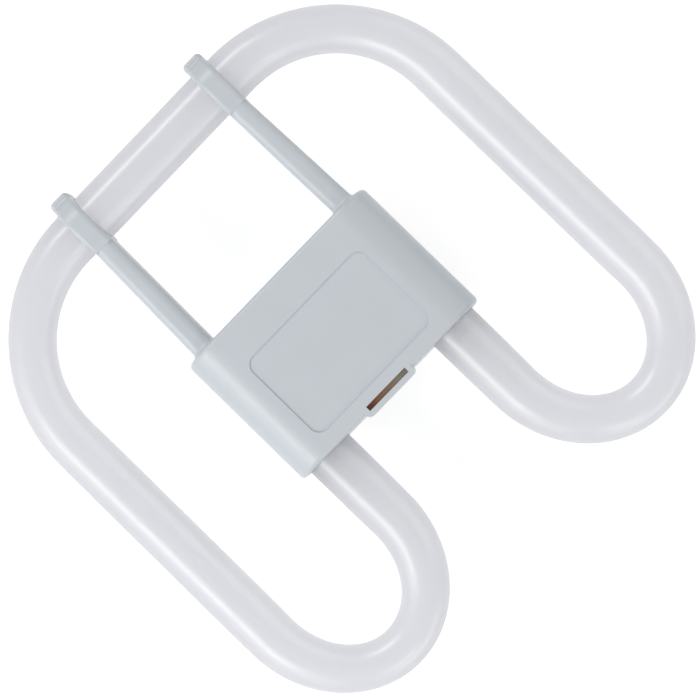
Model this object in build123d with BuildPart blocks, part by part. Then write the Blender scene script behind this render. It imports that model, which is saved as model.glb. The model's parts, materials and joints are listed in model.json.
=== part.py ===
from build123d import *
import os
from math import cos, radians, sin, sqrt

# A double-D lamp: an opal glass tube bent to a double D, carried by a moulded housing
# with two arms that clip over the tube, a driver board inside and a recessed cap with
# four contact pins behind. Millimetres.
# The lamp lies on its cap with the light side up: +Z up, +Y from the open ends of the
# loops to the far straight, origin on the rest plane under the middle of the outline.

# Glass tube
tube_dia = 13.0
far_bend_dia = 11.8
turn_dia = 11.25
leg_pitch = 126.0
inner_leg_pitch = 42.6
loop_length = 102.0
turn_depth = 24.35
far_bend_radius = 35.0
tube_end_round = 3.0
bend_step = 15.0

# Housing shells
housing_length = 39.0
housing_to_far_straight = 42.2
wall = 1.4
shell_gap = 1.0
front_flat_step = 0.6
rear_flat_step = 0.1
edge_round = 1.2
tube_clearance = 0.3
lip_thickness = 0.6
lip_height = 1.2
lip_clearance = 0.1
web_thickness = 1.2
web_lip = 0.6
near_web_inset = 7.0
boot_web_gap = 2.7

# Front face: shallow panel, and a tab with a slot at the open edge
panel_width = 39.2
panel_length = 25.0
panel_inset = 4.2
panel_corner = 3.0
panel_depth = 0.3
tab_width = 15.9
tab_reach = 1.4
tab_height = 6.5
tab_corner = 1.2
slot_length = 13.1
slot_width = 1.35
slot_rim = 1.35

# Arms and clips
arm_pitch = 48.1
arm_root_width = 6.0
arm_tip_width = 5.5
arm_rise = 6.0
arm_round = 2.2
arm_wall = 1.2
arm_channel_depth = 3.2
arm_channel_inset = 2.5
arm_root_round = 1.1
clip_pitch = 46.6
clip_width = 5.6
clip_clearance = 0.2
strap_thickness = 1.5
clip_inner_wall = 0.9
clip_outer_wall = 2.7
strap_corner = 0.8
ledge_rise = 3.0
ledge_corner = 1.2
snap_drop = 3.0
clip_edge_round = 0.4

# Cap behind the housing
cap_width = 40.0
cap_length = 28.0
cap_depth = 8.5
cap_wall = 2.0
cap_floor = 1.7
cap_corner = 3.0
cap_edge_round = 0.6
key_width = 3.0
key_reach = 1.5
key_height = 6.0
latch_length = 8.0
latch_height = 2.5
latch_rise = 2.6

# Contact pins
pin_dia = 2.35
pin_length = 6.8
pin_pitch = 10.0
pin_tip_round = 0.6
pin_root_round = 0.3
pin_seat_dia = 3.0
pin_fit = 0.05
flange_dia = 4.4
flange_thickness = 0.8
tail_dia = 1.0
tail_proud = 0.3
tail_hole_gap = 0.2

# Driver board
board_thickness = 1.6
board_gap = 0.4
board_side_gap = 1.2
board_end_gap = 0.5
tongue_clearance = 0.15
peg_dia = 2.0
peg_pitch = 23.0
peg_y = -3.7
peg_clearance = 0.1
lead_dia = 0.6
lead_hole_dia = 1.0
lead_bend = 0.7
lead_proud = 0.3
standoff = 0.5
peg_proud = 0.3

# End boots and leads of the tube
boot_wall = 0.5
boot_end = 1.4
boot_cover = 7.0
boot_clearance = 0.1
tube_end_room = 6.2
tube_lead_dia = 0.9
tube_end_lead_pitch = 3.0
tube_lead_run = 2.2
tube_lead_bend = 1.2
tube_lead_place = 11.5
tube_lead_pitch = 1.9

# Components on the board: x from the middle, and an inset from the near or far wall inside
near_row_inset = 5.9
input_can_dia = 8.0
input_can_height = 11.5
input_can_x = -8.2
output_can_dia = 8.0
output_can_height = 9.0
output_can_x = -9.4
output_can_inset = 8.3
can_lead_pitch = 3.5
can_groove = 0.4
inductor_dia = 9.0
inductor_neck_dia = 4.4
inductor_height = 9.0
inductor_flange = 1.2
inductor_x = 8.2
inductor_lead_pitch = 5.0
winding_recess = 0.4
winding_clearance = 0.05
film_width = 4.0
film_height = 8.0
film_gap = 0.5
film_lead_share = 0.75
film_round = 0.6
bridge_width = 4.7
bridge_length = 3.8
bridge_height = 2.5
bridge_x = -10.0
bridge_lead_pitch = 2.5
bridge_leads_a_side = 2
chip_width = 3.9
chip_length = 4.9
chip_height = 1.5
chip_x = 10.0
chip_lead_pitch = 1.27
chip_leads_a_side = 4
package_standoff = 0.2
package_draft = 4.0
foot_width = 0.4
foot_reach = 0.9
foot_thickness = 0.4
axial_end_round = 0.4
diode_dia = 2.6
diode_length = 5.0
diode_lead_pitch = 9.0
diode_x = -0.6
diode_inset = 7.8
fuse_dia = 3.2
fuse_length = 7.5
fuse_lead_pitch = 9.5
fuse_x = 8.0
fuse_inset = 5.7
resistor_dia = 2.4
resistor_length = 6.0
resistor_lead_pitch = 9.0
far_resistor_x = 4.6
far_resistor_inset = 2.2
near_resistor_x = -0.2

# Places that follow from the sizes
tube_r = tube_dia / 2
leg_x = leg_pitch / 2
inner_leg_x = inner_leg_pitch / 2
turn_half_width = (leg_pitch - inner_leg_pitch) / 4
flank_radius = tube_r + shell_gap + wall
housing_width = inner_leg_pitch + 2 * flank_radius
front_rise = flank_radius + front_flat_step
rear_drop = flank_radius + rear_flat_step
axis_z = cap_depth + rear_drop
front_z = axis_z + front_rise
clip_r = tube_r + clip_clearance
clip_reach = clip_r + clip_outer_wall
strap_r = clip_r + strap_thickness
strap_z = axis_z + strap_r
arm_top_z = axis_z + arm_rise
ledge_z = axis_z + ledge_rise
snap_z = axis_z - snap_drop
overall_length = clip_reach + loop_length + turn_depth + turn_dia / 2
far_y = overall_length / 2 - clip_reach
turn_y = far_y - loop_length
clip_inner_y = far_y - clip_r - clip_inner_wall
clip_outer_y = far_y + clip_reach
ledge_y = far_y + sqrt(strap_r**2 - ledge_rise**2)
far_face_y = far_y - housing_to_far_straight
near_face_y = far_face_y - housing_length
mid_y = (far_face_y + near_face_y) / 2
slot_y = near_face_y - tab_reach + slot_rim
tube_end_y = far_face_y - wall - tube_end_room
boot_near_y = tube_end_y - boot_cover
web_places = (near_face_y + near_web_inset, boot_near_y - boot_web_gap - web_thickness)
boot_r = tube_r + boot_clearance + boot_wall
floor_top_z = cap_depth + wall
floor_z = floor_top_z - cap_floor
board_top = front_z - wall - board_gap
board_bottom = board_top - board_thickness
board_width = inner_leg_pitch - tube_dia - 2 * board_side_gap
board_near_y = near_face_y + wall + board_end_gap
board_far_y = far_face_y - wall - board_end_gap
lead_top = board_top + lead_proud
pin_places = [(sx * pin_pitch / 2, mid_y + sy * pin_pitch / 2) for sx in (-1, 1) for sy in (-1, 1)]
peg_places = [(side * peg_pitch / 2, mid_y + peg_y) for side in (-1, 1)]
tube_lead_y = tube_end_y + boot_end + tube_lead_run
tube_lead_rows = [tube_lead_place + step * tube_lead_pitch / 2 for step in (-1, 1)]
tube_lead_holes = [(side * row, tube_lead_y) for side in (-1, 1) for row in tube_lead_rows]
x_run = Vector(1, 0, 0)
y_run = Vector(0, 1, 0)

# Places of the components, from the middle of the housing
inner_half = housing_length / 2 - wall
near_row_y = near_row_inset - inner_half
input_can_place = (input_can_x, near_row_y)
output_can_place = (output_can_x, inner_half - output_can_inset)
inductor_place = (inductor_x, near_row_y)
bridge_place = (bridge_x, 0)
chip_place = (chip_x, 0)
diode_place = (diode_x, inner_half - diode_inset)
fuse_place = (fuse_x, inner_half - fuse_inset)
far_resistor_place = (far_resistor_x, inner_half - far_resistor_inset)
near_resistor_place = (near_resistor_x, near_row_y)
# The film capacitor fills the middle, up to the diode's nearer lead
film_place = (0, 0)
film_length = 2 * (diode_place[1] - (diode_lead_pitch + lead_dia) / 2 - film_gap)
film_lead_pitch = film_lead_share * film_length


def on_board(place):
    """Turn a place measured from the middle of the housing into the lamp's frame."""
    return Vector(place[0], mid_y + place[1], board_bottom)


def lead_pair(place, pitch, run):
    """Two lead places on the board, pitch apart along run."""
    middle = on_board(place)
    leads = [middle - run * (pitch / 2), middle + run * (pitch / 2)]
    return [(lead.X, lead.Y) for lead in leads]


def section_plane(y, side):
    """Cross-section plane at y whose local Y points to the front for side 1, to the rear for -1."""
    return Plane(origin=(0, y, axis_z), x_dir=(1, 0, 0), z_dir=(0, -side, 0))


def half_section(y, side, rise, inset):
    """Half of the housing's cross-section, from the parting plane out to the rounded flanks."""
    with BuildSketch(section_plane(y, side)) as section:
        with Locations((0, rise / 2)):
            Rectangle(housing_width - 2 * inset, rise)
        fillet(section.vertices().group_by(Axis.Y)[-1], flank_radius - inset)
    return section.sketch


def shell_body(side, rise):
    """Outer form of one shell, with its end edges rounded."""
    extrude(half_section(far_face_y, side, rise, 0), amount=side * housing_length)


def shell_cavity(side, rise):
    """Hollow of one shell."""
    cavity = half_section(far_face_y - wall, side, rise - wall, wall)
    extrude(cavity, amount=side * (housing_length - 2 * wall), mode=Mode.SUBTRACT)


def tube_webs(side, rise):
    """Cross webs that the glass tube's inner legs lie in."""
    bay_half = inner_leg_x - tube_r - tube_clearance - web_lip
    for web_place in web_places:
        web_y = web_place + web_thickness
        with BuildSketch(section_plane(web_y, side)) as bay:
            Rectangle(2 * bay_half, 2 * rise)
        web = half_section(web_y, side, rise - wall, wall) - bay.sketch
        extrude(web, amount=side * web_thickness)


def tube_bores(side):
    """Bores for the glass tube through the near wall and the webs."""
    with BuildSketch(section_plane(web_places[-1] + 2 * web_thickness, side)) as bores:
        with GridLocations(inner_leg_pitch, 1, 2, 1):
            Circle(tube_r + tube_clearance)
    extrude(bores.sketch, amount=side * housing_length, mode=Mode.SUBTRACT)


def axial_component(place, run, body_dia, body_length, pitch):
    """Component that lies under the board on two bent leads which pass up through it."""
    middle = on_board(place) - Vector(0, 0, standoff + body_dia / 2)
    with BuildPart() as component:
        with BuildSketch(Plane(origin=middle - run * (body_length / 2), z_dir=run)):
            Circle(body_dia / 2)
        extrude(amount=body_length)
        fillet(component.edges().filter_by(GeomType.CIRCLE), axial_end_round)
        for end in (-1, 1):
            foot = middle + run * (end * pitch / 2)
            with BuildLine():
                FilletPolyline(middle, foot, Vector(foot.X, foot.Y, lead_top), radius=lead_bend)
            with BuildSketch(Plane(origin=middle, z_dir=run * end)):
                Circle(lead_dia / 2)
            sweep()
    return component


def radial_can(place, can_dia, can_height):
    """Electrolytic can hanging from the board on two straight leads."""
    middle = on_board(place)
    groove_z = board_bottom - 2 * can_groove
    with BuildPart() as can:
        with BuildSketch(Plane.XY.offset(board_bottom - can_height)):
            with Locations((middle.X, middle.Y)):
                Circle(can_dia / 2)
        extrude(amount=can_height)
        fillet(can.edges().filter_by(GeomType.CIRCLE), can_groove)
        with BuildSketch(Plane.XY.offset(groove_z - can_groove)):
            with Locations((middle.X, middle.Y)):
                Circle(can_dia)
                Circle(can_dia / 2 - can_groove, mode=Mode.SUBTRACT)
        extrude(amount=can_groove, mode=Mode.SUBTRACT)
        with BuildSketch(Plane.XY.offset(board_bottom)):
            with Locations(*lead_pair(place, can_lead_pitch, x_run)):
                Circle(lead_dia / 2)
        extrude(amount=lead_top - board_bottom)
    return can


def arm_blend(y):
    """How far along an arm y lies, from 0 at the housing to 1 at the clip."""
    return (y - far_face_y) / (clip_inner_y - far_face_y)


def arm_x(y):
    """Distance of an arm's centre line from the middle of the lamp."""
    return (arm_pitch + (clip_pitch - arm_pitch) * arm_blend(y)) / 2


def arm_width(y):
    """Width of an arm, which tapers towards its clip."""
    return arm_root_width + (arm_tip_width - arm_root_width) * arm_blend(y)


def clip_strap(side):
    """Clip over the far straight: strap that slopes to the arm, a ledge outside and snap lips behind."""
    with BuildPart() as strap:
        with BuildSketch(Plane.YZ.offset(side * clip_pitch / 2 - clip_width / 2)) as profile:
            with BuildLine():
                Polyline((ledge_y, ledge_z), (clip_outer_y, ledge_z), (clip_outer_y, snap_z))
                Polyline((clip_outer_y, snap_z), (clip_inner_y, snap_z), (clip_inner_y, arm_top_z))
                TangentArc((far_y, strap_z), (clip_inner_y, arm_top_z), tangent=(-1, 0))
                RadiusArc((far_y, strap_z), (ledge_y, ledge_z), strap_r)
            make_face()
            ledge_corners = profile.vertices().filter_by_position(Axis.Y, ledge_z, ledge_z)
            fillet(ledge_corners, strap_corner)
            with Locations((far_y, axis_z)):
                Circle(clip_r, mode=Mode.SUBTRACT)
        extrude(amount=clip_width)
        fillet(strap.faces().sort_by(Axis.Y)[-1].edges().filter_by(Axis.Z), ledge_corner)
        sides = strap.faces().filter_by(Axis.X)
        round_edges = sides.edges().filter_by(GeomType.CIRCLE)
        bore_edges = round_edges.filter_by(lambda edge: abs(edge.radius - clip_r) < clip_clearance / 2)
        fillet(sides.edges() - bore_edges, clip_edge_round)
    return strap.part


# Every lead that passes through the board, so that its holes are drilled from the same places
board_leads = (
    lead_pair(input_can_place, can_lead_pitch, x_run)
    + lead_pair(output_can_place, can_lead_pitch, x_run)
    + lead_pair(inductor_place, inductor_lead_pitch, x_run)
    + lead_pair(film_place, film_lead_pitch, y_run)
    + lead_pair(diode_place, diode_lead_pitch, y_run)
    + lead_pair(fuse_place, fuse_lead_pitch, x_run)
    + lead_pair(far_resistor_place, resistor_lead_pitch, x_run)
    + lead_pair(near_resistor_place, resistor_lead_pitch, y_run)
)

# Glass tube: straight runs joined by bends that are drawn narrower half way round. The far
# bends are quarter circles, and the turns are half ellipses, deeper than half their width.
bends = []
for side in (-1, 1):
    far_centre = Vector(side * (leg_x - far_bend_radius), far_y - far_bend_radius, axis_z)
    turn_centre = Vector(side * (leg_x + inner_leg_x) / 2, turn_y, axis_z)
    bends.append((far_centre, far_bend_radius, far_bend_radius, side, 90, -90, far_bend_dia))
    bends.append((turn_centre, turn_half_width, turn_depth, side, 0, -180, turn_dia))

with BuildPart() as glass_tube:
    for centre, half_width, depth, side, start_angle, swing, waist_dia in bends:
        steps = round(abs(swing) / bend_step)
        for step in range(steps + 1):
            angle = radians(start_angle + swing * step / steps)
            narrowing = sin(radians(180 * step / steps))
            section_r = tube_r - (tube_r - waist_dia / 2) * narrowing
            offset = Vector(side * half_width * cos(angle), depth * sin(angle), 0)
            outward = Vector(side * depth * cos(angle), half_width * sin(angle), 0)
            along = Vector(side * half_width * sin(angle), -depth * cos(angle), 0)
            with BuildSketch(Plane(origin=centre + offset, x_dir=outward, z_dir=along)):
                Circle(section_r)
        loft()
    far_half = leg_x - far_bend_radius
    with BuildSketch(Plane.YZ.offset(-far_half)):
        with Locations((far_y, axis_z)):
            Circle(tube_r)
    extrude(amount=2 * far_half)
    leg_length = loop_length - far_bend_radius
    with BuildSketch(Plane.XZ.offset(-turn_y)):
        with Locations((-leg_x, axis_z), (leg_x, axis_z)):
            Circle(tube_r)
    extrude(amount=-leg_length)
    with BuildSketch(Plane.XZ.offset(-turn_y)):
        with Locations((-inner_leg_x, axis_z), (inner_leg_x, axis_z)):
            Circle(tube_r)
    extrude(amount=turn_y - tube_end_y)
    tube_ends = glass_tube.faces().filter_by(Axis.Y)
    fillet(tube_ends.edges(), tube_end_round)

clip_straps = [clip_strap(side) for side in (-1, 1)]

# Front shell: shell, panel, tab with its slot, webs, locating lip, board pegs, arms and clips
with BuildPart() as housing_front:
    shell_body(1, front_rise)
    end_faces = housing_front.faces().filter_by(Axis.Y)
    rim = housing_front.faces().sort_by(Axis.Z)[0]
    fillet(end_faces.edges() - rim.edges(), edge_round)
    # Tab that stands out from the wall at the open edge
    with BuildSketch(Plane.XY.offset(front_z)) as tab_plan:
        with Locations((0, near_face_y - tab_reach)):
            Rectangle(tab_width, tab_reach + wall, align=(Align.CENTER, Align.MIN))
        fillet(tab_plan.vertices().group_by(Axis.Y)[0], tab_corner)
    extrude(amount=-tab_height)
    # Arms: tapered rods from the far wall to the clips, channelled behind
    for side in (-1, 1):
        for end_y in (far_face_y - wall / 2, clip_inner_y + clip_inner_wall / 2):
            with BuildSketch(Plane.XZ.offset(-end_y)) as arm_section:
                with Locations((side * arm_x(end_y), (axis_z + arm_top_z) / 2)):
                    Rectangle(arm_width(end_y), arm_rise)
                fillet(arm_section.vertices().group_by(Axis.Y)[-1], arm_round)
        loft()
        arm_root = housing_front.edges(Select.NEW).filter_by_position(Axis.Y, far_face_y, far_face_y)
        fillet(arm_root, arm_root_round)
        for end_y in (far_face_y + arm_channel_inset, clip_inner_y - arm_channel_inset):
            with BuildSketch(Plane.XZ.offset(-end_y)):
                with Locations((side * arm_x(end_y), axis_z)):
                    Rectangle(arm_width(end_y) - 2 * arm_wall, 2 * arm_channel_depth)
        loft(mode=Mode.SUBTRACT)
    add(clip_straps)
    # Shallow panel
    with BuildSketch(Plane.XY.offset(front_z)):
        with Locations((0, near_face_y + panel_inset + panel_length / 2)):
            RectangleRounded(panel_width, panel_length, panel_corner)
    extrude(amount=-panel_depth, mode=Mode.SUBTRACT)
    # Hollow, locating lip and webs
    shell_cavity(1, front_rise)
    with BuildSketch(Plane.XY.offset(axis_z - lip_height)):
        with Locations((0, mid_y)):
            lip_inset = wall - lip_thickness
            Rectangle(housing_width - 2 * lip_inset, housing_length - 2 * lip_inset)
            Rectangle(housing_width - 2 * wall, housing_length - 2 * wall, mode=Mode.SUBTRACT)
    extrude(amount=lip_height + front_flat_step)
    tube_webs(1, front_rise)
    tube_bores(1)
    # Slot through the front wall, and the pocket behind it for the board's tongue
    with BuildSketch(Plane.XY.offset(front_z)):
        with Locations((0, slot_y)):
            Rectangle(slot_length, slot_width, align=(Align.CENTER, Align.MIN))
    extrude(amount=-2 * wall, mode=Mode.SUBTRACT)
    with BuildSketch(Plane.XY.offset(front_z - wall)):
        with Locations((0, slot_y)):
            pocket_length = near_face_y + 2 * wall - slot_y
            Rectangle(slot_length, pocket_length, align=(Align.CENTER, Align.MIN))
    pocket_depth = board_gap + board_thickness + board_gap
    extrude(amount=-pocket_depth, mode=Mode.SUBTRACT)
    # Pegs and shoulders that hold the board off the front wall
    with BuildSketch(Plane.XY.offset(board_top)):
        with Locations(*peg_places):
            Circle(peg_dia)
    extrude(amount=board_gap + wall / 2)
    with BuildSketch(Plane.XY.offset(board_bottom - peg_proud)):
        with Locations(*peg_places):
            Circle(peg_dia / 2)
    extrude(amount=board_thickness + peg_proud)

# Rear shell: shell, webs, rebate for the lip, and the cap with its recess
with BuildPart() as housing_rear:
    shell_body(-1, rear_drop)
    end_faces = housing_rear.faces().filter_by(Axis.Y)
    rim = housing_rear.faces().sort_by(Axis.Z)[-1]
    fillet(end_faces.edges() - rim.edges(), edge_round)
    with BuildSketch():
        with Locations((0, mid_y)):
            RectangleRounded(cap_width, cap_length, cap_corner)
    extrude(amount=cap_depth + wall / 2)
    fillet(housing_rear.faces().sort_by(Axis.Z)[0].edges(), cap_edge_round)
    shell_cavity(-1, rear_drop)
    tube_webs(-1, rear_drop)
    tube_bores(-1)
    # Recess that the lamp holder plugs into
    with BuildSketch():
        with Locations((0, mid_y)):
            RectangleRounded(cap_width - 2 * cap_wall, cap_length - 2 * cap_wall, cap_corner - cap_wall / 2)
    extrude(amount=floor_z, mode=Mode.SUBTRACT)
    # Key on the recess's far wall
    with BuildSketch(Plane.XY.offset(floor_z - key_height)):
        with Locations((0, mid_y + cap_length / 2 - cap_wall)):
            Rectangle(key_width, 2 * key_reach)
    extrude(amount=key_height)
    # Windows in the side walls for the holder's catches
    with BuildSketch(Plane.YZ.offset(-cap_width)):
        with Locations((mid_y, latch_rise + latch_height / 2)):
            RectangleRounded(latch_length, latch_height, latch_height / 4)
    extrude(amount=2 * cap_width, mode=Mode.SUBTRACT)
    # Rebate for the front shell's lip
    with BuildSketch(Plane.XY.offset(axis_z - lip_height - lip_clearance)):
        with Locations((0, mid_y)):
            rebate_inset = wall - lip_thickness - lip_clearance
            Rectangle(housing_width - 2 * rebate_inset, housing_length - 2 * rebate_inset)
            # The ring reaches past the wall's inner face, so that the webs clear the lip too
            Rectangle(housing_width - 3 * wall, housing_length - 3 * wall, mode=Mode.SUBTRACT)
    extrude(amount=lip_height + lip_clearance, mode=Mode.SUBTRACT)
    # Holes for the contact pins
    with BuildSketch(Plane.XY.offset(floor_z)):
        with Locations(*pin_places):
            Circle(pin_seat_dia / 2 + pin_fit)
    extrude(amount=cap_floor, mode=Mode.SUBTRACT)


def contact_pin(x, y):
    """Turned contact pin: rounded tip, free shank, seat in the cap's floor, flange and thin tail."""
    with BuildPart() as pin:
        with BuildSketch(Plane(origin=(x, y, 0), x_dir=(1, 0, 0), z_dir=(0, -1, 0))) as profile:
            with Locations((0, floor_z - pin_length)):
                Rectangle(pin_dia / 2, pin_length + cap_floor, align=(Align.MIN, Align.MIN))
            tip = profile.vertices().group_by(Axis.Y)[0].sort_by(Axis.X)[-1]
            fillet(tip, pin_tip_round)
            with Locations((0, floor_z)):
                Rectangle(pin_seat_dia / 2, cap_floor, align=(Align.MIN, Align.MIN))
            root = profile.vertices().filter_by_position(Axis.X, pin_dia / 2, pin_dia / 2).sort_by(Axis.Y)[-1]
            fillet(root, pin_root_round)
            with Locations((0, floor_top_z)):
                Rectangle(flange_dia / 2, flange_thickness, align=(Align.MIN, Align.MIN))
                tail_length = board_top + tail_proud - floor_top_z
                Rectangle(tail_dia / 2, tail_length, align=(Align.MIN, Align.MIN))
        revolve(axis=Axis((x, y, 0), (0, 0, 1)))
    return pin


contact_pins = [contact_pin(x, y) for x, y in pin_places]

# Driver board: brown laminate whose tongue shows behind the slot
with BuildPart() as driver_board:
    with BuildSketch(Plane.XY.offset(board_bottom)):
        with Locations((0, board_near_y)):
            Rectangle(board_width, board_far_y - board_near_y, align=(Align.CENTER, Align.MIN))
        tongue_y = slot_y + tongue_clearance
        with Locations((0, tongue_y)):
            tongue_width = slot_length - 2 * tongue_clearance
            Rectangle(tongue_width, board_near_y - tongue_y + wall, align=(Align.CENTER, Align.MIN))
        with Locations(*board_leads):
            Circle(lead_hole_dia / 2, mode=Mode.SUBTRACT)
        with Locations(*pin_places):
            Circle(tail_dia / 2 + tail_hole_gap, mode=Mode.SUBTRACT)
        with Locations(*peg_places):
            Circle(peg_dia / 2 + peg_clearance, mode=Mode.SUBTRACT)
        with Locations(*tube_lead_holes):
            Circle(tube_lead_dia / 2 + tail_hole_gap, mode=Mode.SUBTRACT)
    extrude(amount=board_thickness)


def end_boot(side):
    """Silicone boot over one end of the glass tube, with two holes for the leads."""
    x = side * inner_leg_x
    with BuildPart() as boot:
        with BuildSketch(Plane.XZ.offset(-(tube_end_y + boot_clearance + boot_end))):
            with Locations((x, axis_z)):
                Circle(boot_r)
        extrude(amount=boot_end + boot_clearance + boot_cover)
        fillet(boot.faces().sort_by(Axis.Y)[-1].edges(), boot_wall)
        with BuildSketch(Plane.XZ.offset(-(tube_end_y + boot_clearance))):
            with Locations((x, axis_z)):
                Circle(tube_r + boot_clearance)
        extrude(amount=boot_cover + boot_clearance, mode=Mode.SUBTRACT)
        with BuildSketch(Plane.XZ.offset(-(tube_end_y + boot_clearance + boot_end))):
            with Locations((x, axis_z)):
                with GridLocations(1, tube_end_lead_pitch, 1, 2):
                    Circle(tube_lead_dia / 2 + boot_clearance)
        extrude(amount=boot_end, mode=Mode.SUBTRACT)
    return boot


def tube_leads(side):
    """The two leads of one tube end, from the glass to the board."""
    start_x = side * inner_leg_x
    with BuildPart() as leads:
        for row, step in zip(tube_lead_rows, (-1, 1)):
            lead_z = axis_z + step * tube_end_lead_pitch / 2
            start = Vector(start_x, tube_end_y + boot_clearance, lead_z)
            corner = Vector(start_x, tube_lead_y, lead_z)
            foot = Vector(side * row, tube_lead_y, lead_z)
            top = Vector(side * row, tube_lead_y, lead_top)
            with BuildLine():
                FilletPolyline(start, corner, foot, top, radius=tube_lead_bend)
            with BuildSketch(Plane(origin=start, z_dir=(0, 1, 0))):
                Circle(tube_lead_dia / 2)
            sweep()
    return leads


end_boot_left = end_boot(-1)
end_boot_right = end_boot(1)
tube_leads_left = tube_leads(-1)
tube_leads_right = tube_leads(1)

# Components under the board
input_capacitor = radial_can(input_can_place, input_can_dia, input_can_height)
output_capacitor = radial_can(output_can_place, output_can_dia, output_can_height)
flyback_diode = axial_component(diode_place, y_run, diode_dia, diode_length, diode_lead_pitch)
fuse_resistor = axial_component(fuse_place, x_run, fuse_dia, fuse_length, fuse_lead_pitch)
resistor_sizes = (resistor_dia, resistor_length, resistor_lead_pitch)
filament_resistor_1 = axial_component(far_resistor_place, x_run, *resistor_sizes)
filament_resistor_2 = axial_component(near_resistor_place, y_run, *resistor_sizes)

# Ferrite spool of the power inductor, hanging from its two leads, and the winding round it
inductor_at = on_board(inductor_place)
with BuildPart() as inductor_core:
    for level, section_dia, height in (
        (board_bottom - inductor_flange, inductor_dia, inductor_flange),
        (board_bottom - inductor_height, inductor_neck_dia, inductor_height),
        (board_bottom - inductor_height, inductor_dia, inductor_flange),
    ):
        with BuildSketch(Plane.XY.offset(level)):
            with Locations((inductor_at.X, inductor_at.Y)):
                Circle(section_dia / 2)
        extrude(amount=height)
    with BuildSketch(Plane.XY.offset(board_bottom)):
        with Locations(*lead_pair(inductor_place, inductor_lead_pitch, x_run)):
            Circle(lead_dia / 2)
    extrude(amount=lead_top - board_bottom)

with BuildPart() as inductor_winding:
    with BuildSketch(Plane.XY.offset(board_bottom - inductor_height + inductor_flange + winding_clearance)):
        with Locations((inductor_at.X, inductor_at.Y)):
            Circle(inductor_dia / 2 - winding_recess)
            Circle(inductor_neck_dia / 2 + winding_clearance, mode=Mode.SUBTRACT)
    extrude(amount=inductor_height - 2 * inductor_flange - 2 * winding_clearance)

# Boxed film capacitor
film_at = on_board(film_place)
with BuildPart() as film_capacitor:
    with BuildSketch(Plane.XY.offset(board_bottom - film_height)):
        with Locations((film_at.X, film_at.Y)):
            Rectangle(film_width, film_length)
    extrude(amount=film_height)
    fillet(film_capacitor.edges().filter_by(Axis.Z), film_round)
    fillet(film_capacitor.faces().sort_by(Axis.Z)[0].edges(), film_round)
    with BuildSketch(Plane.XY.offset(board_bottom)):
        with Locations(*lead_pair(film_place, film_lead_pitch, y_run)):
            Circle(lead_dia / 2)
    extrude(amount=lead_top - board_bottom)


def flat_package(place, width, length, height, lead_pitch, leads_a_side):
    """Moulded flat package with a row of soldered feet along each long side."""
    at = on_board(place)
    with BuildPart() as package:
        with BuildSketch(Plane.XY.offset(board_bottom - package_standoff)):
            with Locations((at.X, at.Y)):
                Rectangle(width, length)
        extrude(amount=-height, taper=package_draft)
        with BuildSketch(Plane.XY.offset(board_bottom)):
            with Locations((at.X, at.Y)):
                with GridLocations(width + foot_reach, lead_pitch, 2, leads_a_side):
                    Rectangle(2 * foot_reach, foot_width)
        extrude(amount=-foot_thickness)
    return package


bridge_sizes = (bridge_width, bridge_length, bridge_height, bridge_lead_pitch)
bridge_rectifier = flat_package(bridge_place, *bridge_sizes, bridge_leads_a_side)
chip_sizes = (chip_width, chip_length, chip_height, chip_lead_pitch)
driver_chip = flat_package(chip_place, *chip_sizes, chip_leads_a_side)

pieces = {
    "glass_tube": glass_tube,
    "housing_front": housing_front,
    "housing_rear": housing_rear,
    "driver_board": driver_board,
    "end_boot_left": end_boot_left,
    "end_boot_right": end_boot_right,
    "tube_leads_left": tube_leads_left,
    "tube_leads_right": tube_leads_right,
    "input_capacitor": input_capacitor,
    "output_capacitor": output_capacitor,
    "film_capacitor": film_capacitor,
    "inductor_core": inductor_core,
    "inductor_winding": inductor_winding,
    "bridge_rectifier": bridge_rectifier,
    "driver_chip": driver_chip,
    "flyback_diode": flyback_diode,
    "fuse_resistor": fuse_resistor,
    "filament_resistor_1": filament_resistor_1,
    "filament_resistor_2": filament_resistor_2,
}
for number, pin in enumerate(contact_pins, 1):
    pieces[f"contact_pin_{number}"] = pin

os.makedirs("parts", exist_ok=True)
for name, piece in pieces.items():
    piece.part.label = name
    export_step(piece.part, f"parts/{name}.step")
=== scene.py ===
import json
from math import cos, pi, radians, sin

import bmesh
import bpy
from mathutils import Matrix, Vector


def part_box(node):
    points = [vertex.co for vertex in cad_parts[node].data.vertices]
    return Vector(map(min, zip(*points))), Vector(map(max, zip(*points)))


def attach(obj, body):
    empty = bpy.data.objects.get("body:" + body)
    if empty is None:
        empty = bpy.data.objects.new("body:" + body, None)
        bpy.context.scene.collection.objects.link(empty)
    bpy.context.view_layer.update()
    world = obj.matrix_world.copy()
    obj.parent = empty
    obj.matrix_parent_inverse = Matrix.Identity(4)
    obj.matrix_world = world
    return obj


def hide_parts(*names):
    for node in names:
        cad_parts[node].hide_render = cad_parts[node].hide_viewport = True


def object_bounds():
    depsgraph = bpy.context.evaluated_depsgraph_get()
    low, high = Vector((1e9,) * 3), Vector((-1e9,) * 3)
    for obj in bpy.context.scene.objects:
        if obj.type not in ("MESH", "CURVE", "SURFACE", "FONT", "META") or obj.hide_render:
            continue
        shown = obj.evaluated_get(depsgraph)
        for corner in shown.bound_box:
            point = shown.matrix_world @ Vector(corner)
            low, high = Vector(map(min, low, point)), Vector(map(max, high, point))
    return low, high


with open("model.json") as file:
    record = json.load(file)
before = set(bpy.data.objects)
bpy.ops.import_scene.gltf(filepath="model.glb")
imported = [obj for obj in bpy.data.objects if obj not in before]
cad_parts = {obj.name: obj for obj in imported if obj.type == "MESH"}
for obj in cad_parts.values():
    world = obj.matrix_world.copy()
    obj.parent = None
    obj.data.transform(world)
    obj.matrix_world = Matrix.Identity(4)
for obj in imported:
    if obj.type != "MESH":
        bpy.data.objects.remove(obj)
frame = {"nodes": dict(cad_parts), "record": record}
cad_low, cad_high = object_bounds()

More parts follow.
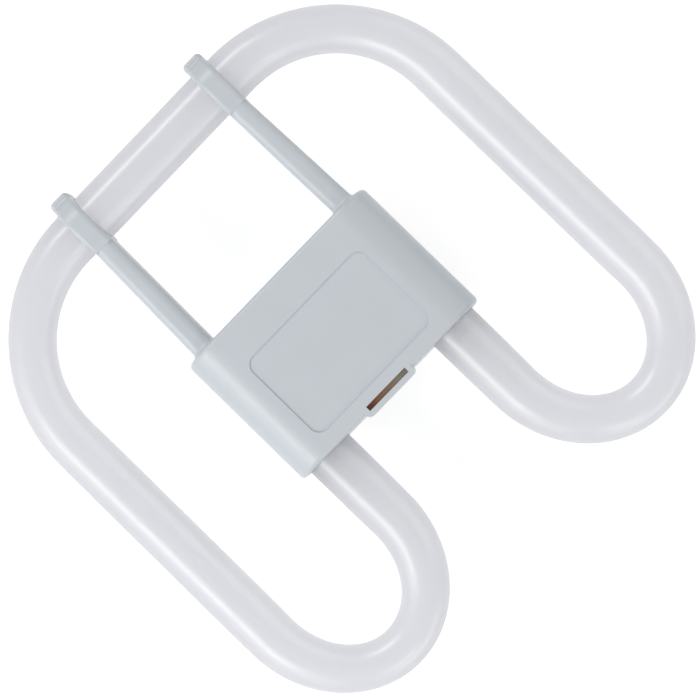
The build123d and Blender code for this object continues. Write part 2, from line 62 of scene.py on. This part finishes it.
# A double-D lamp lying on its cap, light side up. Metres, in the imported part's frame.
MM = 0.001

# Glass tube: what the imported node's box doesn't give. A waist is the radius half way round a bend.
TUBE_RADIUS = 6.5 * MM
INNER_LEG_X = 21.3 * MM
FAR_BEND_RADIUS = 35.0 * MM
FAR_BEND_WAIST = 5.9 * MM
TURN_DEPTH = 24.35 * MM
TURN_WAIST = 5.625 * MM
TUBE_END_Y = 11.4875 * MM
TUBE_END_ROUND = 3.0 * MM
# Share of a bend over which its narrowing sets in, on either side of where the bend starts
EASE = 0.15

# How finely the tube's mesh is divided
RING_POINTS = 72
RING_TURN = radians(2.0)
END_STEPS = 8

# Noise lies mostly between these two values
NOISE_LOW = 0.3
NOISE_HIGH = 0.7

# Board laminate: half of the strip that shows in the slot, where along it the colour changes,
# and the colours and their darker fibres at its two ends
STRIP_HALF = 6.55 * MM
CHANGE_START = -0.7 * STRIP_HALF
CHANGE_END = 0.6 * STRIP_HALF
RED_END = (0.40, 0.115, 0.055)
RED_END_FIBRE = (0.31, 0.085, 0.042)
GREY_END = (0.42, 0.36, 0.25)
GREY_END_FIBRE = (0.34, 0.28, 0.20)

# Plain finishes: colour, roughness, length and depth of the grain, and what it multiplies the colour by
PLAIN_FINISHES = {
    "silicone": ((0.68, 0.68, 0.65), 0.6, 0.6 * MM, 0.02 * MM, 0.93),
    "wire_insulation": ((0.72, 0.70, 0.64), 0.45, 0.4 * MM, 0.01 * MM, 0.9),
    "can_sleeve": ((0.02, 0.022, 0.035), 0.2, 1.0 * MM, 0.01 * MM, 0.7),
    "film_case": ((0.34, 0.035, 0.018), 0.25, 1.2 * MM, 0.02 * MM, 0.8),
    "ferrite": ((0.028, 0.028, 0.031), 0.55, 0.15 * MM, 0.02 * MM, 1.6),
    "black_package": ((0.012, 0.012, 0.014), 0.5, 0.12 * MM, 0.01 * MM, 1.5),
    "resistor_coat": ((0.26, 0.42, 0.48), 0.35, 0.8 * MM, 0.02 * MM, 0.88),
}
# How far a plain finish's grain moves its roughness, and how strong its relief is
GLOSSIER = 0.85
DULLER = 1.2
GRAIN_STRENGTH = 0.5
# Scale of the wave texture at which the winding's turns lie about an eighth of a millimetre apart
WINDING_SCALE = 2500.0

WHITE = (1, 1, 1)

# Floor: its greys where it lights the lamp and where it is seen, and the white glow that it shows
FLOOR_HALF = 3.0
FLOOR_LIGHTING = (0.62, 0.62, 0.62)
FLOOR_SEEN = (0.35, 0.35, 0.35)
FLOOR_GLOW = 0.8

# Surround: colour and strength where it lights the lamp, and white where it is seen
SURROUND_LIGHTING = (0.97, 0.99, 1.0)
SURROUND_LIGHTING_STRENGTH = 0.37
SURROUND_SEEN_STRENGTH = 1.0

# Softboxes aimed at the lamp: name, azimuth from +X towards +Y, elevation, distance, width, height, power
SOFTBOXES = (
    ("key", 180, 41, 0.9, 0.58, 0.38, 2.7),
    ("fill_left", 180, 24, 1.1, 1.6, 0.8, 4.2),
    ("fill_right", 0, 24, 1.1, 1.6, 0.9, 4.0),
    ("fill_far", 90, 36, 0.9, 0.45, 0.14, 1.8),
    ("fill_near", -90, 13, 0.9, 0.84, 0.14, 1.4),
    ("strip_near", -107, 36, 0.9, 0.26, 0.14, 0.7),
)

# Camera: the photograph looks almost straight down, turned by about an eighth of a circle
IMAGE_SIDE = 700
SENSOR = 36.0
FOCAL_PIXELS = 2441.4
CAMERA_TILT = -0.0496
CAMERA_LEAN = -0.0563
CAMERA_ROLL = 0.79886
CAMERA_SHIFT = Vector((-0.282, 0.283, -589.8)) * MM
CAMERA_TARGET = Vector((0.0, -5.5525, 17.5)) * MM
CAMERA_REACH = (0.01, 20.0)


def middle(low, high):
    """Middle of a box."""
    return (low + high) / 2


def add_object(name, data):
    """New object in the scene."""
    added = bpy.data.objects.new(name, data)
    bpy.context.scene.collection.objects.link(added)
    return added


class Surface:
    """A node material with object coordinates at hand; lengths in its textures are in metres."""

    def __init__(self, name, color, roughness):
        self.material = bpy.data.materials.new(name)
        self.material.use_nodes = True
        self.tree = self.material.node_tree
        self.shader = self.tree.nodes["Principled BSDF"]
        self.shader.inputs["Base Color"].default_value = (*color, 1.0)
        self.shader.inputs["Roughness"].default_value = roughness
        self.places = self.tree.nodes.new("ShaderNodeTexCoord").outputs["Object"]
        self.color = color

    def link(self, source, target):
        """Join an output to an input."""
        self.tree.links.new(source, target)

    def stretched(self, scale):
        """Object coordinates scaled along each axis."""
        mapping = self.tree.nodes.new("ShaderNodeMapping")
        mapping.inputs["Scale"].default_value = scale
        self.link(self.places, mapping.inputs["Vector"])
        return mapping.outputs["Vector"]

    def noise(self, size, detail=3.0, stretch=(1, 1, 1)):
        """Noise whose features are about size long."""
        texture = self.tree.nodes.new("ShaderNodeTexNoise")
        texture.inputs["Scale"].default_value = 1.0 / size
        texture.inputs["Detail"].default_value = detail
        self.link(self.stretched(stretch), texture.inputs["Vector"])
        return texture.outputs["Fac"]

    def mapped(self, value, low=0.0, high=1.0, start=NOISE_LOW, end=NOISE_HIGH):
        """Value moved from start..end to low..high."""
        step = self.tree.nodes.new("ShaderNodeMapRange")
        for socket, number in zip(("From Min", "From Max", "To Min", "To Max"), (start, end, low, high)):
            step.inputs[socket].default_value = number
        self.link(value, step.inputs["Value"])
        return step.outputs["Result"]

    def along(self, axis):
        """One object coordinate."""
        split = self.tree.nodes.new("ShaderNodeSeparateXYZ")
        self.link(self.places, split.inputs["Vector"])
        return split.outputs[axis]

    def mixed(self, factor, first, second):
        """Colour between two, each a colour or an output."""
        mix = self.tree.nodes.new("ShaderNodeMix")
        mix.data_type = "RGBA"
        self.link(factor, mix.inputs["Factor"])
        for socket, color in (("A", first), ("B", second)):
            target = [s for s in mix.inputs if s.name == socket and s.type == "RGBA"][0]
            if isinstance(color, bpy.types.NodeSocket):
                self.link(color, target)
            else:
                target.default_value = (*color, 1.0)
        return [s for s in mix.outputs if s.type == "RGBA"][0]

    def paint(self, color):
        """Use a colour output as the base colour."""
        self.link(color, self.shader.inputs["Base Color"])

    def vary_color(self, factor, change):
        """Base colour that goes from its own value to change times it."""
        other = tuple(channel * change for channel in self.color)
        self.paint(self.mixed(factor, self.color, other))

    def vary_roughness(self, noise, low, high):
        """Roughness that follows a noise between two values."""
        self.link(self.mapped(noise, low, high), self.shader.inputs["Roughness"])

    def let_light_through(self, color, share):
        """Mix in a share of light that passes through the wall and scatters."""
        milky = self.tree.nodes.new("ShaderNodeBsdfTranslucent")
        milky.inputs["Color"].default_value = (*color, 1.0)
        wall = self.tree.nodes.new("ShaderNodeMixShader")
        wall.inputs[0].default_value = share
        self.link(self.shader.outputs[0], wall.inputs[1])
        self.link(milky.outputs[0], wall.inputs[2])
        self.link(wall.outputs[0], self.tree.nodes["Material Output"].inputs["Surface"])

    def bump(self, height, depth, strength):
        """Relief from a height output; depth in metres."""
        node = self.tree.nodes.new("ShaderNodeBump")
        node.inputs["Distance"].default_value = depth
        node.inputs["Strength"].default_value = strength
        self.link(height, node.inputs["Height"])
        self.link(node.outputs["Normal"], self.shader.inputs["Normal"])


def opal_glass():
    """Glossy white glass over an even powder coat that lets light through."""
    surface = Surface("opal_glass", (0.622, 0.627, 0.654), roughness=0.3)
    # The gloss is only on the share that doesn't pass light, so its index is high to make up for it
    surface.shader.inputs["IOR"].default_value = 2.2
    surface.let_light_through((0.87, 0.87, 0.888), share=0.58)
    surface.vary_color(surface.mapped(surface.noise(9 * MM)), change=0.965)
    surface.vary_roughness(surface.noise(2.5 * MM), low=0.28, high=0.32)
    surface.bump(surface.noise(16 * MM, detail=1.0), depth=0.02 * MM, strength=0.1)
    return surface.material


def white_moulding():
    """Satin moulded plastic with a fine even grain."""
    surface = Surface("white_moulding", (0.552, 0.585, 0.617), roughness=0.35)
    surface.vary_color(surface.mapped(surface.noise(12 * MM)), change=0.97)
    surface.vary_roughness(surface.noise(1.2 * MM), low=0.31, high=0.39)
    surface.bump(surface.noise(0.25 * MM, detail=2.0), depth=0.02 * MM, strength=0.35)
    return surface.material


def pin_brass():
    """Turned brass with fine rings and a little tarnish."""
    surface = Surface("pin_brass", (0.78, 0.56, 0.25), roughness=0.25)
    surface.shader.inputs["Metallic"].default_value = 1.0
    rings = surface.noise(0.12 * MM, detail=2.0, stretch=(0.05, 0.05, 1.0))
    surface.vary_color(surface.mapped(surface.noise(1.5 * MM)), change=0.72)
    surface.vary_roughness(rings, low=0.18, high=0.38)
    surface.bump(rings, depth=0.01 * MM, strength=0.5)
    return surface.material


def brown_laminate():
    """Pressed paper laminate, red-brown at one end of the strip that shows and greyer at the other."""
    surface = Surface("brown_laminate", RED_END, roughness=0.5)
    across = surface.mapped(surface.along("X"), start=CHANGE_START, end=CHANGE_END)
    fibre = surface.mapped(surface.noise(0.5 * MM, detail=4.0, stretch=(0.3, 1.0, 1.0)))
    base = surface.mixed(across, RED_END, GREY_END)
    darker = surface.mixed(across, RED_END_FIBRE, GREY_END_FIBRE)
    surface.paint(surface.mixed(fibre, base, darker))
    surface.bump(fibre, depth=0.02 * MM, strength=0.4)
    return surface.material


def copper_winding():
    """Fine enamelled turns laid round the spool."""
    surface = Surface("copper_winding", (0.60, 0.22, 0.07), roughness=0.3)
    surface.shader.inputs["Metallic"].default_value = 0.8
    turns = surface.tree.nodes.new("ShaderNodeTexWave")
    turns.bands_direction = "Z"
    turns.inputs["Scale"].default_value = WINDING_SCALE
    surface.link(surface.places, turns.inputs["Vector"])
    surface.vary_color(turns.outputs["Fac"], change=0.6)
    surface.bump(turns.outputs["Fac"], depth=0.04 * MM, strength=0.8)
    return surface.material


def grained(name, color, roughness, grain, depth, change):
    """Plain material with a grain in its colour, gloss and relief."""
    surface = Surface(name, color, roughness)
    texture = surface.noise(grain)
    surface.vary_color(surface.mapped(texture), change)
    surface.vary_roughness(texture, roughness * GLOSSIER, roughness * DULLER)
    surface.bump(texture, depth, GRAIN_STRENGTH)
    return surface.material


finishes = {
    "opal_glass": opal_glass(),
    "white_moulding": white_moulding(),
    "pin_brass": pin_brass(),
    "brown_laminate": brown_laminate(),
    "copper_winding": copper_winding(),
}
for name, recipe in PLAIN_FINISHES.items():
    finishes[name] = grained(name, *recipe)


def dress(piece, finish):
    """Give a piece one finish."""
    piece.data.materials.clear()
    piece.data.materials.append(finish)


for subpart in frame["record"]["subparts"]:
    dress(frame["nodes"][subpart["node"]], finishes[subpart["material_slot"]])


def narrowing(share):
    """How far the tube has narrowed at a share of a bend, from 0 on the straights to 1 in its middle.

    It is half a sine wave averaged over a short run of tube, so it sets in gently before the bend.
    """
    def summed(end):
        return -cos(pi * min(max(end, 0.0), 1.0))

    return (summed(share + EASE) - summed(share - EASE)) / (summed(0.5 + EASE) - summed(0.5 - EASE))


def end_stations(axis_z):
    """Centre, direction and radius at each ring of the tube's rounded left end, inside the housing."""
    stations = []
    for step in range(END_STEPS + 1):
        angle = pi / 2 * step / END_STEPS
        radius = TUBE_RADIUS - TUBE_END_ROUND * (1 - sin(angle))
        y = TUBE_END_Y - TUBE_END_ROUND * (1 - cos(angle))
        stations.append((Vector((-INNER_LEG_X, y, axis_z)), Vector((0, -1, 0)), radius))
    return stations


def bend_stations(centre, half_width, depth, start, swing, waist):
    """Centre, direction and radius at each ring round a bend and on a short run of the straights by it."""
    stations = []
    steps = round(swing / RING_TURN)
    lead = round(EASE * steps)
    for step in range(-lead, steps + lead + 1):
        # Steps before and after the bend lie on the straights
        bend_step = min(max(step, 0), steps)
        angle = start - swing * bend_step / steps
        offset = Vector((half_width * cos(angle), depth * sin(angle), 0))
        along = Vector((half_width * sin(angle), -depth * cos(angle), 0)).normalized()
        beyond = (step - bend_step) / steps * swing * depth
        radius = TUBE_RADIUS - (TUBE_RADIUS - waist) * narrowing(step / steps)
        stations.append((centre + offset + along * beyond, along, radius))
    return stations


def tube_stations(tube_low, tube_high):
    """Stations of the glass tube, from its left end round to the middle of the far straight."""
    axis_z = middle(tube_low, tube_high).z
    leg_x = tube_high.x - TUBE_RADIUS
    far_y = tube_high.y - TUBE_RADIUS
    turn_half_width = (leg_x - INNER_LEG_X) / 2
    turn_y = tube_low.y + TURN_WAIST + TURN_DEPTH
    turn_centre = Vector((-(leg_x + INNER_LEG_X) / 2, turn_y, axis_z))
    far_centre = Vector((-(leg_x - FAR_BEND_RADIUS), far_y - FAR_BEND_RADIUS, axis_z))
    return [
        *end_stations(axis_z),
        *bend_stations(turn_centre, turn_half_width, TURN_DEPTH, 0, pi, TURN_WAIST),
        *bend_stations(far_centre, FAR_BEND_RADIUS, FAR_BEND_RADIUS, pi, pi / 2, FAR_BEND_WAIST),
        (Vector((0, far_y, axis_z)), Vector((1, 0, 0)), TUBE_RADIUS),
    ]


def mirrored(stations):
    """The same stations on the other side, run backwards."""
    other = []
    for place, along, radius in reversed(stations):
        other.append((Vector((-place.x, place.y, place.z)), Vector((along.x, -along.y, 0)), radius))
    return other


def tube_mesh(stations):
    """Closed smooth tube through the stations."""
    mesh = bmesh.new()
    up = Vector((0, 0, 1))
    rings = []
    for place, along, radius in stations:
        sideways = along.cross(up)
        ring = []
        for point in range(RING_POINTS):
            angle = 2 * pi * point / RING_POINTS
            ring.append(mesh.verts.new(place + (sideways * cos(angle) + up * sin(angle)) * radius))
        rings.append(ring)
    for first, second in zip(rings, rings[1:]):
        for point in range(RING_POINTS):
            after = (point + 1) % RING_POINTS
            mesh.faces.new((first[point], first[after], second[after], second[point]))
    mesh.faces.new(rings[0])
    mesh.faces.new(rings[-1])
    bmesh.ops.recalc_face_normals(mesh, faces=mesh.faces)
    data = bpy.data.meshes.new("opal_tube")
    mesh.to_mesh(data)
    mesh.free()
    data.shade_smooth()
    return data


half_way = tube_stations(*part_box("glass_tube"))
opal_tube = add_object("opal_tube", tube_mesh(half_way + mirrored(half_way)[1:]))
dress(opal_tube, finishes["opal_glass"])
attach(opal_tube, "root")
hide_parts("glass_tube")


def seen_directly(tree):
    """1 for camera, glossy and transmission rays, which show the background, else 0."""
    path = tree.nodes.new("ShaderNodeLightPath")
    total = path.outputs["Is Camera Ray"]
    for ray in ("Is Glossy Ray", "Is Transmission Ray"):
        larger = tree.nodes.new("ShaderNodeMath")
        larger.operation = "MAXIMUM"
        tree.links.new(total, larger.inputs[0])
        tree.links.new(path.outputs[ray], larger.inputs[1])
        total = larger.outputs[0]
    return total


def add_shader(tree, kind, color, strength=None):
    """Output of a new shader of one colour, and of one strength where it has one."""
    shader = tree.nodes.new(kind)
    shader.inputs["Color"].default_value = (*color, 1)
    if strength is not None:
        shader.inputs["Strength"].default_value = strength
    return shader.outputs[0]


def finish_background(tree, lighting, seen, output_kind):
    """Join one shader for the light on the lamp and one for the background as it is seen."""
    choice = tree.nodes.new("ShaderNodeMixShader")
    tree.links.new(seen_directly(tree), choice.inputs[0])
    tree.links.new(lighting, choice.inputs[1])
    tree.links.new(seen, choice.inputs[2])
    output = tree.nodes.new(output_kind)
    tree.links.new(choice.outputs[0], output.inputs[0])


def add_floor():
    """Pale floor that shows white and keeps a light shadow."""
    data = bpy.data.meshes.new("floor")
    corners = [(x * FLOOR_HALF, y * FLOOR_HALF, 0) for x, y in ((-1, -1), (1, -1), (1, 1), (-1, 1))]
    data.from_pydata(corners, [], [(0, 1, 2, 3)])
    floor = add_object("floor", data)
    material = bpy.data.materials.new("floor")
    material.use_nodes = True
    tree = material.node_tree
    tree.nodes.clear()
    lighting = add_shader(tree, "ShaderNodeBsdfDiffuse", FLOOR_LIGHTING)
    shaded = add_shader(tree, "ShaderNodeBsdfDiffuse", FLOOR_SEEN)
    glow = add_shader(tree, "ShaderNodeEmission", WHITE, FLOOR_GLOW)
    both = tree.nodes.new("ShaderNodeAddShader")
    tree.links.new(shaded, both.inputs[0])
    tree.links.new(glow, both.inputs[1])
    finish_background(tree, lighting, both.outputs[0], "ShaderNodeOutputMaterial")
    data.materials.append(material)


def add_world():
    """Even pale surround, white where it is seen."""
    world = bpy.data.worlds.new("surround")
    bpy.context.scene.world = world
    world.use_nodes = True
    tree = world.node_tree
    tree.nodes.clear()
    lighting = add_shader(tree, "ShaderNodeBackground", SURROUND_LIGHTING, SURROUND_LIGHTING_STRENGTH)
    seen = add_shader(tree, "ShaderNodeBackground", WHITE, SURROUND_SEEN_STRENGTH)
    finish_background(tree, lighting, seen, "ShaderNodeOutputWorld")


def add_softbox(name, azimuth, elevation, distance, width, height, power):
    """Soft lamp aimed at the middle of the object."""
    data = bpy.data.lights.new(name, "AREA")
    data.shape = "RECTANGLE"
    data.size = width
    data.size_y = height
    data.energy = power
    light = add_object(name, data)
    turn, rise = radians(azimuth), radians(elevation)
    away = Vector((cos(turn) * cos(rise), sin(turn) * cos(rise), sin(rise)))
    light.location = middle(cad_low, cad_high) + away * distance
    light.rotation_mode = "QUATERNION"
    light.rotation_quaternion = away.to_track_quat("Z", "Y")


def add_camera():
    """The photograph's camera."""
    data = bpy.data.cameras.new("photo_camera")
    data.sensor_width = SENSOR
    data.lens = FOCAL_PIXELS * SENSOR / IMAGE_SIDE
    data.clip_start, data.clip_end = CAMERA_REACH
    camera = add_object("photo_camera", data)
    roll = Matrix.Rotation(CAMERA_ROLL, 3, "Z")
    tilt = Matrix.Rotation(CAMERA_TILT, 3, "X")
    lean = Matrix.Rotation(CAMERA_LEAN, 3, "Y")
    to_world = (roll @ tilt @ lean).transposed()
    camera.matrix_world = Matrix.Translation(CAMERA_TARGET - to_world @ CAMERA_SHIFT) @ to_world.to_4x4()
    bpy.context.scene.camera = camera


add_floor()
add_world()
for softbox in SOFTBOXES:
    add_softbox(*softbox)
add_camera()
bpy.context.scene.view_settings.view_transform = "Standard"
